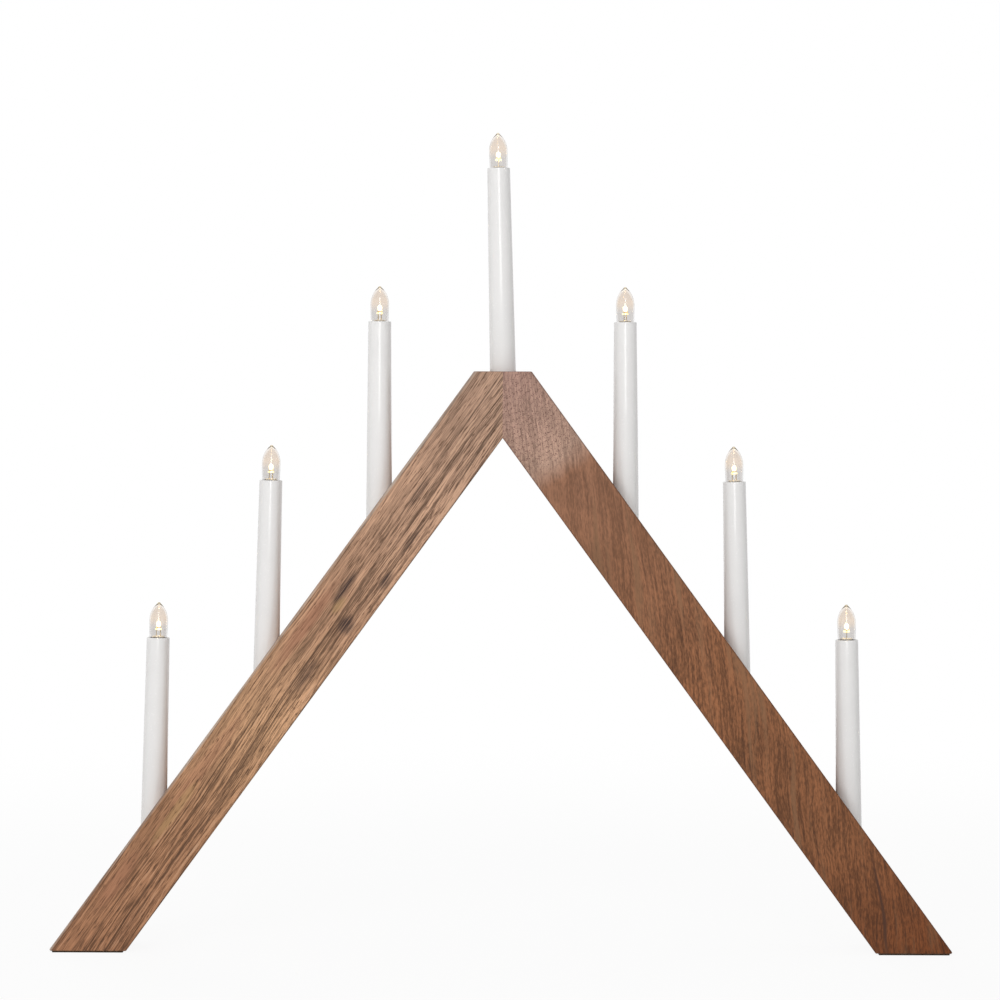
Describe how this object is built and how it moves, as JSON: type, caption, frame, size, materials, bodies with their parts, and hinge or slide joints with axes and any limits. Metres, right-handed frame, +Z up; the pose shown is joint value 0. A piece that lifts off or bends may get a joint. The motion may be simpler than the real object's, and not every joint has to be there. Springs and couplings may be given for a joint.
{
  "type": "candle arch",
  "caption": "Electric candle arch: a mitred wooden A-frame with tapered candle tubes standing in its outer faces, each with a clear flame-shaped screw-in LED bulb.",
  "frame": {"origin": "on the surface that the arch stands on, midway between the feet and midway through its depth", "axes": "+Z up, +X to the right seen from the front, along the arch's width, +Y to the back"},
  "size_m": [0.547, 0.045, 0.4993],
  "materials": {
    "left_wood": "stained, open grain",
    "right_wood": "stained, open grain, redder",
    "dowel_wood": "plain beech",
    "strip_wood": "stained",
    "screw_steel": "plain",
    "felt": "felt",
    "gland_plastic": "moulded",
    "candle_plastic": "glossy off-white",
    "holder_plastic": "moulded",
    "contact_brass": "plain",
    "cap_metal": "nickel plated",
    "tip_insulator": "moulded, soldered dome",
    "bulb_clear": "clear",
    "led_clear": "clear, lit warm white",
    "wire_sheath": "sheathed"
  },
  "bodies": {
    "arch": {"left_leg": "left_wood", "right_leg": "right_wood", "mitre_dowels": "dowel_wood", "left_cover_strip": "strip_wood", "right_cover_strip": "strip_wood", "strip_screws": "screw_steel", "left_foot_pad": "felt", "right_foot_pad": "felt", "cord_gland": "gland_plastic", "link_wires": "wire_sheath", "supply_wire": "wire_sheath", "return_wire": "wire_sheath", "holder_shells": "contact_brass", "holder_contacts": "contact_brass", "candle_tube_1": "candle_plastic", "lamp_holder_1": "holder_plastic", "candle_tube_2": "candle_plastic", "lamp_holder_2": "holder_plastic", "candle_tube_3": "candle_plastic", "lamp_holder_3": "holder_plastic", "candle_tube_4": "candle_plastic", "lamp_holder_4": "holder_plastic", "candle_tube_5": "candle_plastic", "lamp_holder_5": "holder_plastic", "candle_tube_6": "candle_plastic", "lamp_holder_6": "holder_plastic", "candle_tube_7": "candle_plastic", "lamp_holder_7": "holder_plastic"},
    "tip_1": {"bulb_contact_1": "tip_insulator"},
    "bulb_1": {"bulb_cap_1": "cap_metal", "bulb_envelope_1": "bulb_clear", "bulb_led_1": "led_clear"},
    "tip_2": {"bulb_contact_2": "tip_insulator"},
    "bulb_2": {"bulb_cap_2": "cap_metal", "bulb_envelope_2": "bulb_clear", "bulb_led_2": "led_clear"},
    "tip_3": {"bulb_contact_3": "tip_insulator"},
    "bulb_3": {"bulb_cap_3": "cap_metal", "bulb_envelope_3": "bulb_clear", "bulb_led_3": "led_clear"},
    "tip_4": {"bulb_contact_4": "tip_insulator"},
    "bulb_4": {"bulb_cap_4": "cap_metal", "bulb_envelope_4": "bulb_clear", "bulb_led_4": "led_clear"},
    "tip_5": {"bulb_contact_5": "tip_insulator"},
    "bulb_5": {"bulb_cap_5": "cap_metal", "bulb_envelope_5": "bulb_clear", "bulb_led_5": "led_clear"},
    "tip_6": {"bulb_contact_6": "tip_insulator"},
    "bulb_6": {"bulb_cap_6": "cap_metal", "bulb_envelope_6": "bulb_clear", "bulb_led_6": "led_clear"},
    "tip_7": {"bulb_contact_7": "tip_insulator"},
    "bulb_7": {"bulb_cap_7": "cap_metal", "bulb_envelope_7": "bulb_clear", "bulb_led_7": "led_clear"}
  },
  "joints": [
    {"name": "bulb_1_rise", "type": "slide", "parent": "arch", "child": "tip_1", "axis": [0.0209, 0, 0.9998], "range_m": [0, 0.00726]},
    {"name": "bulb_1_screw", "type": "hinge", "parent": "tip_1", "child": "bulb_1", "pos_m": [-0.21039, 0, 0.18983], "axis": [0.0209, 0, 0.9998], "range_deg": [0, 1441]},
    {"name": "bulb_2_rise", "type": "slide", "parent": "arch", "child": "tip_2", "axis": [0.0209, 0, 0.9998], "range_m": [0, 0.00726]},
    {"name": "bulb_2_screw", "type": "hinge", "parent": "tip_2", "child": "bulb_2", "pos_m": [-0.1418, 0, 0.28631], "axis": [0.0209, 0, 0.9998], "range_deg": [0, 1441]},
    {"name": "bulb_3_rise", "type": "slide", "parent": "arch", "child": "tip_3", "axis": [0, 0, 1], "range_m": [0, 0.00726]},
    {"name": "bulb_3_screw", "type": "hinge", "parent": "tip_3", "child": "bulb_3", "pos_m": [-0.0755, 0, 0.38372], "axis": [0, 0, 1], "range_deg": [0, 1441]},
    {"name": "bulb_4_rise", "type": "slide", "parent": "arch", "child": "tip_4", "axis": [-0.0244, 0, 0.9997], "range_m": [0, 0.00726]},
    {"name": "bulb_4_screw", "type": "hinge", "parent": "tip_4", "child": "bulb_4", "pos_m": [-0.00304, 0, 0.47782], "axis": [-0.0244, 0, 0.9997], "range_deg": [0, 1441]},
    {"name": "bulb_5_rise", "type": "slide", "parent": "arch", "child": "tip_5", "axis": [-0.0061, 0, 1], "range_m": [0, 0.00726]},
    {"name": "bulb_5_screw", "type": "hinge", "parent": "tip_5", "child": "bulb_5", "pos_m": [0.07483, 0, 0.38372], "axis": [-0.0061, 0, 1], "range_deg": [0, 1441]},
    {"name": "bulb_6_rise", "type": "slide", "parent": "arch", "child": "tip_6", "axis": [-0.0201, 0, 0.9998], "range_m": [0, 0.00726]},
    {"name": "bulb_6_screw", "type": "hinge", "parent": "tip_6", "child": "bulb_6", "pos_m": [0.1419, 0, 0.28632], "axis": [-0.0201, 0, 0.9998], "range_deg": [0, 1441]},
    {"name": "bulb_7_rise", "type": "slide", "parent": "arch", "child": "tip_7", "axis": [-0.0148, 0, 0.9999], "range_m": [0, 0.00726]},
    {"name": "bulb_7_screw", "type": "hinge", "parent": "tip_7", "child": "bulb_7", "pos_m": [0.21103, 0, 0.18984], "axis": [-0.0148, 0, 0.9999], "range_deg": [0, 1441]}
  ],
  "couplings": [
    {"joint": "bulb_1_screw", "follows": "bulb_1_rise", "rad_per_m": 3463.7},
    {"joint": "bulb_2_screw", "follows": "bulb_2_rise", "rad_per_m": 3463.7},
    {"joint": "bulb_3_screw", "follows": "bulb_3_rise", "rad_per_m": 3463.7},
    {"joint": "bulb_4_screw", "follows": "bulb_4_rise", "rad_per_m": 3463.7},
    {"joint": "bulb_5_screw", "follows": "bulb_5_rise", "rad_per_m": 3463.7},
    {"joint": "bulb_6_screw", "follows": "bulb_6_rise", "rad_per_m": 3463.7},
    {"joint": "bulb_7_screw", "follows": "bulb_7_rise", "rad_per_m": 3463.7}
  ]
}
